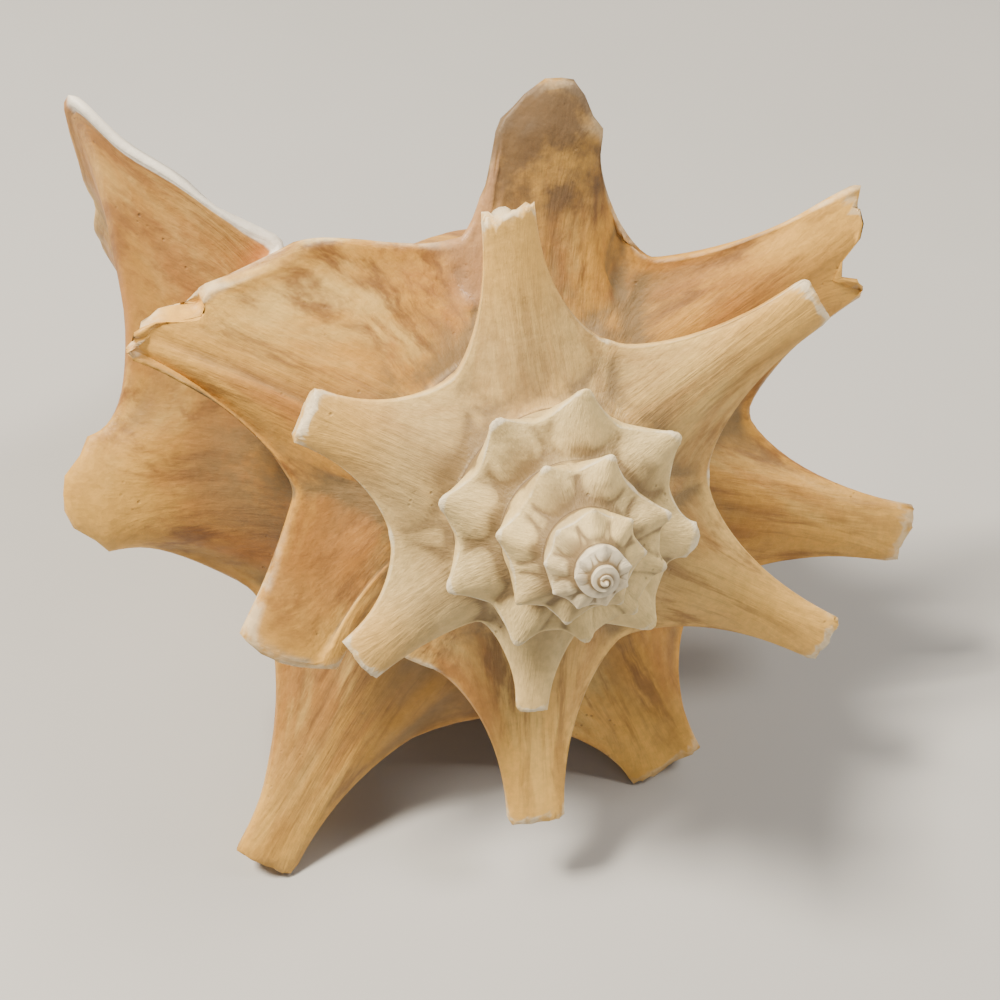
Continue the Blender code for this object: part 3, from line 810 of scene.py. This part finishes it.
def outside_material(colours, streaks, relief):
    """Weathered shell: pale old whorls, golden streaked young ones, chalky where it is worn, with a painted highlight
    on bulges and painted shade in the hollows.
    """
    material, wiring, finish = new_material("shell_outside")
    turn, girth = wiring.uv("growth")
    spine, _ = wiring.uv("place")
    glazed, _ = wiring.uv("cover")
    place = wiring.add("ShaderNodeTexCoord").outputs["Object"]
    low = place_group(wiring, relief, {"Turn": turn, "Girth": girth})

    base = whorl_colour(wiring, colours, turn, spine)
    base = growth_stains(wiring, colours, streaks, base, turn, girth, spine)
    base = wear_dirt_and_painted_light(wiring, colours, base, turn, girth, spine, place)
    base = wiring.mix(wiring.times(glazed, 0.8), base, (*colours.callus, 1))
    base = lip_colour(wiring, colours, base, turn, girth, place)
    base = wiring.mix(wiring.times(low["Pits"], 0.45), base, (*colours.dirt_and_shade, 1))
    speckle = wiring.mapped(low["Grain"], 0.3, 0.7, 0.90, 1.07)
    base = wiring.mix(1.0, base, wiring.add("ShaderNodeCombineColor", {0: speckle, 1: speckle, 2: speckle}).outputs[0], "MULTIPLY")
    wiring.put(base, finish["Base Color"])

    rough = wiring.mapped(wiring.noise(place, 120.0, 3.0), 0.3, 0.7, 0.46, 0.66)
    wiring.put(wiring.math("SUBTRACT", rough, wiring.times(glazed, 0.18)), finish["Roughness"])
    bump = wiring.add("ShaderNodeBump", {"Strength": 0.6, "Distance": 0.0010, "Height": low["Height"]})
    wiring.put(bump.outputs[0], finish["Normal"])
    return material


def whorl_colour(wiring, colours, turn, spine):
    """The ground colour: from chalk at the apex to tan on the last whorl, golden out along the spines."""
    age = wiring.mapped(turn, FIRST_TURN, MOUTH_TURN)
    age.node.interpolation_type = "LINEAR"
    stops = (
        (FIRST_TURN, colours.chalk), (-2.2, colours.chalk), (-1.2, colours.ivory), (1.3, colours.ivory),
        (2.1, colours.beige), (2.5, colours.tan), (3.1, colours.tan), (3.42, colours.honey), (MOUTH_TURN, colours.honey),
    )
    base = wiring.ramp(age, [((at - FIRST_TURN) / (MOUTH_TURN - FIRST_TURN), colour) for at, colour in stops])
    along = wiring.times(wiring.mapped(spine, 0.10, 0.75), wiring.mapped(turn, 1.1, 1.5))
    return wiring.mix(wiring.times(along, 0.75), base, (*colours.gold, 1))


def growth_stains(wiring, colours, streaks, base, turn, girth, spine):
    """Broad ochre bands, brown streaks and fine fibres along the lines of growth, weaker on the tips."""
    young = wiring.mapped(turn, 1.1, 2.55)
    rooted = wiring.mapped(spine, 0.95, 0.25, 0.35, 1.0)
    strength = wiring.times(young, rooted)
    layers = (
        (9.0, 0.9, 21.0, 0.50, 0.64, 0.75, colours.cream),
        (12.0, 1.0, 3.0, 0.46, 0.62, 0.90, colours.ochre),
        (40.0, 1.6, 9.0, 0.50, 0.64, 0.85, colours.brown),
        (130.0, 2.6, 5.0, 0.50, 0.70, 0.55, colours.brown),
        (420.0, 4.5, 7.0, 0.50, 0.80, 0.22, colours.ochre),
    )
    for fineness, length, seed, low, high, amount, colour in layers:
        values = {"Turn": turn, "Girth": girth, "Fineness": fineness, "Length": length}
        values |= {"Seed": seed, "Low": low, "High": high}
        mark = place_group(wiring, streaks, values)["Streaks"]
        base = wiring.mix(wiring.times(wiring.times(mark, strength), amount), base, (*colour, 1))
    return base


def wear_dirt_and_painted_light(wiring, colours, base, turn, girth, spine, place):
    """Chalky edges and knobs with a painted highlight, ochre stains and painted shade in the hollows, a stained spine
    face with painted shade, and dark hairlines along the sutures.
    """
    # Bulges take chalky wear and a painted highlight; hollows take stains and painted shade.
    convex, hollow = wiring.uv("wear")
    times, mapped = wiring.times, wiring.mapped
    old = mapped(turn, 1.9, 0.9)
    mottle = wiring.noise(place, 62.0, 5.0, 0.62)
    recess = mapped(girth, 0.75, 0.10, 0.25, 0.85)
    patches = times(times(mapped(mottle, 0.47, 0.60), recess), old)
    base = wiring.mix(patches, base, (*colours.stain_and_shade, 1))
    # Ochre in the hollows: partly real stain, partly painted shade where the hollows lie in shade.
    shade_and_stain_in_hollows = times(mapped(hollow, 0.0, 0.24), mapped(mottle, 0.32, 0.50, 0.35, 1.0))
    base = wiring.mix(times(times(shade_and_stain_in_hollows, 0.95), mapped(spine, 0.92, 0.60)), base, (*colours.stain_and_shade, 1))
    # Pale chalk on bulging edges and knobs: partly real wear, partly a painted highlight.
    scuff_and_highlight = times(mapped(convex, 0.10, 0.40), mapped(wiring.noise(place, 210.0, 4.0), 0.34, 0.56))
    scuff_and_highlight = times(times(scuff_and_highlight, mapped(turn, 2.6, 2.2, 0.45, 0.75)), mapped(turn, 3.3, 3.1))
    base = wiring.mix(scuff_and_highlight, base, (*colours.chalk, 1))
    # A dark patch on the face of the spine at turn 2.765: partly real brown stain, partly painted shade.
    shaded_stained_face = times(mapped(turn, 2.700, 2.735), mapped(turn, 2.835, 2.80))
    shaded_stained_face = times(times(shaded_stained_face, mapped(spine, 0.18, 0.60)), mapped(mottle, 0.36, 0.56, 0.35, 1.0))
    base = wiring.mix(times(shaded_stained_face, 0.88), base, (*colours.dirt_and_shade, 1))
    upper = mapped(girth, 0.030, 0.0)
    lower = times(mapped(girth, 1.965, 2.0), mapped(turn, MOUTH_TURN - 0.97, MOUTH_TURN - 1.0))
    seam = times(wiring.math("MAXIMUM", upper, lower), mapped(wiring.noise(place, 160.0, 3.0), 0.3, 0.5, 0.4, 1.0))
    return wiring.mix(times(seam, 0.9), base, (*colours.dirt_and_shade, 1))


def lip_colour(wiring, colours, base, turn, girth, place):
    """The lip: brown before its margin, rusty in the corner at the suture, and a white rim."""
    times, mapped = wiring.times, wiring.mapped
    wander = times(wiring.math("SUBTRACT", wiring.noise(place, 70.0, 4.0), 0.5), 0.006)
    near = wiring.math("ADD", turn, wander)
    band = times(mapped(near, 3.52, 3.612), mapped(girth, 2.2, 1.2))
    base = wiring.mix(times(band, 0.45), base, (*colours.ochre, 1))
    corner = times(mapped(near, 3.50, 3.58), mapped(girth, 0.42, 0.18))
    base = wiring.mix(times(corner, 0.8), base, (*colours.rust, 1))
    rim = times(mapped(near, 3.6205, 3.6230), mapped(girth, 1.06, 0.98))
    return wiring.mix(rim, base, (*colours.white, 1))


def inside_material(colours, streaks, relief):
    """The glossy inside of the mouth: pale at the rim, peach deeper in."""
    material, wiring, finish = new_material("shell_inside")
    turn, girth = wiring.uv("growth")
    place = wiring.add("ShaderNodeTexCoord").outputs["Object"]
    values = {"Turn": turn, "Girth": girth, "Fineness": 9.0, "Length": 1.2, "Seed": 2.0}
    values |= {"Low": 0.3, "High": 0.8}
    band = place_group(wiring, streaks, values)["Streaks"]
    base = wiring.mix(band, (*colours.glaze, 1), (*colours.cream, 1))
    cloud = wiring.mapped(wiring.noise(place, 35.0, 3.0), 0.35, 0.7)
    base = wiring.mix(wiring.times(cloud, 0.5), base, (*colours.white, 1))
    base = wiring.mix(wiring.times(wiring.mapped(turn, 3.60, 3.2), 0.7), base, (*colours.glaze, 1))
    base = wiring.mix(wiring.mapped(turn, 3.56, 3.61), base, (*colours.white, 1))
    wiring.put(base, finish["Base Color"])
    wiring.put(wiring.mapped(wiring.noise(place, 80.0, 3.0), 0.3, 0.7, 0.18, 0.34), finish["Roughness"])
    low = place_group(wiring, relief, {"Turn": turn, "Girth": girth})
    bump = wiring.add("ShaderNodeBump", {"Strength": 0.18, "Distance": 0.0006, "Height": low["Height"]})
    wiring.put(bump.outputs[0], finish["Normal"])
    return material


def floor_material(colour):
    material, wiring, finish = new_material("studio_floor")
    place = wiring.add("ShaderNodeTexCoord").outputs["Object"]
    cloud = wiring.noise(place, 5.0, 4.0)
    base = wiring.mix(wiring.mapped(cloud, 0.3, 0.7), (*colour, 1), (*[0.94 * c for c in colour], 1))
    wiring.put(base, finish["Base Color"])
    wiring.put(wiring.mapped(cloud, 0.3, 0.7, 0.55, 0.65), finish["Roughness"])
    return material


def colour_setting(name, description, default):
    return FloatVectorProperty(
        name=name, description=description, subtype="COLOR", size=3, min=0.0, max=1.0, default=default
    )


class ShellShape(bpy.types.PropertyGroup):
    rows_per_turn: IntProperty(
        name="Rows a turn", description="How finely the whorls are divided along their growth", default=264, min=64
    )
    wall: FloatProperty(
        name="Wall", description="Thickness of the lip", default=WALL, min=0.001, subtype="DISTANCE", unit="LENGTH"
    )
    relief: FloatProperty(
        name="Relief", description="Strength of the growth folds and seams", default=1.0, min=0.0, max=3.0
    )


class ShellColours(bpy.types.PropertyGroup):
    # This colour paints the chalky old whorls and worn edges, and also the painted highlight on bulging edges.
    chalk: colour_setting("Chalk", "Worn first whorls and edges", (0.93, 0.82, 0.60))
    ivory: colour_setting("Ivory", "Old whorls round the apex", (0.82, 0.62, 0.28))
    beige: colour_setting("Beige", "Middle whorl", (0.80, 0.51, 0.155))
    tan: colour_setting("Tan", "Youngest whorls", (0.68, 0.35, 0.062))
    gold: colour_setting("Gold", "Outer half of the spines", (0.88, 0.50, 0.105))
    cream: colour_setting("Cream", "Pale bands", (0.90, 0.62, 0.19))
    ochre: colour_setting("Ochre", "Broad streaks", (0.46, 0.20, 0.045))
    brown: colour_setting("Brown", "Fine streaks", (0.24, 0.10, 0.027))
    # This colour paints real stains and also the painted shade in the hollows.
    stain_and_shade: colour_setting("Stain", "Stains in the hollows of the old whorls", (0.25, 0.165, 0.070))
    rust: colour_setting("Rust", "Corner of the lip", (0.62, 0.24, 0.055))
    # This colour paints seam lines and pits, and also the painted shade on one spine's face.
    dirt_and_shade: colour_setting("Dirt", "Grey-brown lines in the seams", (0.12, 0.075, 0.045))
    honey: colour_setting("Honey", "Ground colour of the lip", (0.50, 0.26, 0.050))
    callus: colour_setting("Callus", "Glaze spread over the whorl beside the mouth", (0.54, 0.31, 0.16))
    glaze: colour_setting("Glaze", "Inside of the mouth", (0.80, 0.55, 0.40))
    white: colour_setting("White", "Rim of the lip", (0.86, 0.80, 0.70))


class StudioSetting(bpy.types.PropertyGroup):
    floor_size: FloatProperty(
        name="Floor", description="Side of the floor", default=6.0, min=1.0, subtype="DISTANCE", unit="LENGTH"
    )
    floor_colour: colour_setting("Floor colour", "Colour of the plain floor", (0.50, 0.50, 0.50))
    key_power: FloatProperty(name="Key light", description="Power of the main light", default=34.0, unit="POWER")
    side_power: FloatProperty(name="Side light", description="Power of the side light", default=9.0, unit="POWER")
    fill_power: FloatProperty(name="Fill light", description="Power of the fill light", default=2.0, unit="POWER")


class BuildConchShell(bpy.types.Operator):
    """Grow the shell over its solid and give it its finish."""

    bl_idname = "conch.build_shell"
    bl_label = "Conch shell"
    bl_options = {"REGISTER", "UNDO"}

    def execute(self, context):
        shape, colours = context.scene.shell_shape, context.scene.shell_colours
        skin = shell_skin(shape)
        mesh = bpy.data.meshes.new("conch_shell_skin")
        mesh.from_pydata(lay_down(np.array(skin.points)).tolist(), [], skin.faces)
        facts = np.array(skin.corner_facts)
        write_map(mesh, "growth", facts[:, 0], facts[:, 1])
        write_map(mesh, "place", facts[:, 2], facts[:, 3])
        write_map(mesh, "cover", facts[:, 4], facts[:, 3])
        shell = bpy.data.objects.new("conch_shell_skin", mesh)
        context.scene.collection.objects.link(shell)
        take_in_hand(shell)
        bpy.ops.object.mode_set(mode="EDIT")
        bpy.ops.mesh.select_all(action="SELECT")
        bpy.ops.mesh.remove_doubles(threshold=WELD)
        bpy.ops.mesh.normals_make_consistent(inside=False)
        bpy.ops.object.mode_set(mode="OBJECT")
        points = get_points(mesh)
        set_points(mesh, points - [0, 0, FLOOR_HEIGHT])
        wear_feet(shell)
        set_points(mesh, place_in_box(get_points(mesh)))
        map_bulges_and_hollows(mesh)
        bpy.ops.object.shade_smooth()
        streaks, relief = growth_streaks_group(), shell_relief_group()
        mesh.materials.append(outside_material(colours, streaks, relief))
        mesh.materials.append(inside_material(colours, streaks, relief))
        paint_inside(mesh)
        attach(shell, "root")
        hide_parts("conch_shell")
        return {"FINISHED"}


def paint_inside(mesh):
    """Gives the faces inside the mouth the second material."""
    inside = np.empty(2 * len(mesh.loops))
    mesh.uv_layers["place"].uv.foreach_get("vector", inside)
    starts = np.empty(len(mesh.polygons), dtype=int)
    mesh.polygons.foreach_get("loop_start", starts)
    sums = np.add.reduceat(inside[1::2], starts)
    totals = np.empty(len(mesh.polygons), dtype=int)
    mesh.polygons.foreach_get("loop_total", totals)
    mesh.polygons.foreach_set("material_index", (sums / totals > 0.6).astype(int))
    mesh.update()


class BuildStudio(bpy.types.Operator):
    """Set the plain floor, the soft lights and the camera."""

    bl_idname = "conch.build_studio"
    bl_label = "Studio"
    bl_options = {"REGISTER", "UNDO"}

    def execute(self, context):
        studio = context.scene.shell_studio
        select_none()
        bpy.ops.mesh.primitive_plane_add(size=studio.floor_size, location=(0, 0, 0))
        floor = context.object
        floor.name = floor.data.name = "studio_floor"
        floor.data.materials.append(floor_material(studio.floor_colour))
        world = bpy.data.worlds.new("studio_air")
        world.use_nodes = True
        world.node_tree.nodes["Background"].inputs[0].default_value = (0.95, 0.97, 1.0, 1)
        world.node_tree.nodes["Background"].inputs[1].default_value = 0.12
        context.scene.world = world
        for name, power, place, size, colour in (
            ("key_light", studio.key_power, (-0.55, 0.12, 1.08), 0.24, (1.0, 0.90, 0.74)),
            ("side_light", studio.side_power, (0.70, -0.20, 0.90), 0.30, (1.0, 0.92, 0.80)),
            ("fill_light", studio.fill_power, (0.25, -1.20, 0.90), 0.90, (1.0, 0.96, 0.90)),
        ):
            bpy.ops.object.light_add(type="AREA", location=place)
            light = context.object
            light.name = light.data.name = name
            light.data.energy = power
            light.data.size = size
            light.data.color = colour
            light.rotation_euler = (-Vector(place) + Vector((0, 0, 0.08))).to_track_quat("-Z", "Y").to_euler()
        bpy.ops.object.camera_add()
        camera = context.object
        camera.name = camera.data.name = "photo_camera"
        camera.data.lens = CAMERA_LENS
        camera.data.sensor_width = SENSOR
        camera.data.clip_start = 0.01
        rows = [(*axes, place) for axes, place in zip(CAMERA_AXES, CAMERA_PLACE)]
        camera.matrix_world = Matrix([*rows, (0, 0, 0, 1)])
        context.scene.camera = camera
        return {"FINISHED"}


class ShellPanel(bpy.types.Panel):
    """Sizes, colours and steps of the conch shell."""

    bl_idname = "CONCH_PT_shell"
    bl_label = "Conch shell"
    bl_space_type = "VIEW_3D"
    bl_region_type = "UI"
    bl_category = "Shell"

    def draw(self, context):
        for settings in (context.scene.shell_shape, context.scene.shell_colours, context.scene.shell_studio):
            column = self.layout.column(align=True)
            for name in settings.__annotations__:
                column.prop(settings, name)
        self.layout.operator(BuildConchShell.bl_idname)
        self.layout.operator(BuildStudio.bl_idname)


CLASSES = (ShellShape, ShellColours, StudioSetting, BuildConchShell, BuildStudio, ShellPanel)


def register():
    for cls in CLASSES:
        bpy.utils.register_class(cls)
    bpy.types.Scene.shell_shape = PointerProperty(type=ShellShape)
    bpy.types.Scene.shell_colours = PointerProperty(type=ShellColours)
    bpy.types.Scene.shell_studio = PointerProperty(type=StudioSetting)


def unregister():
    del bpy.types.Scene.shell_studio
    del bpy.types.Scene.shell_colours
    del bpy.types.Scene.shell_shape
    for cls in reversed(CLASSES):
        bpy.utils.unregister_class(cls)


def main():
    register()
    select_none()
    bpy.ops.conch.build_shell()
    bpy.ops.conch.build_studio()


if __name__ == "__main__":
    main()
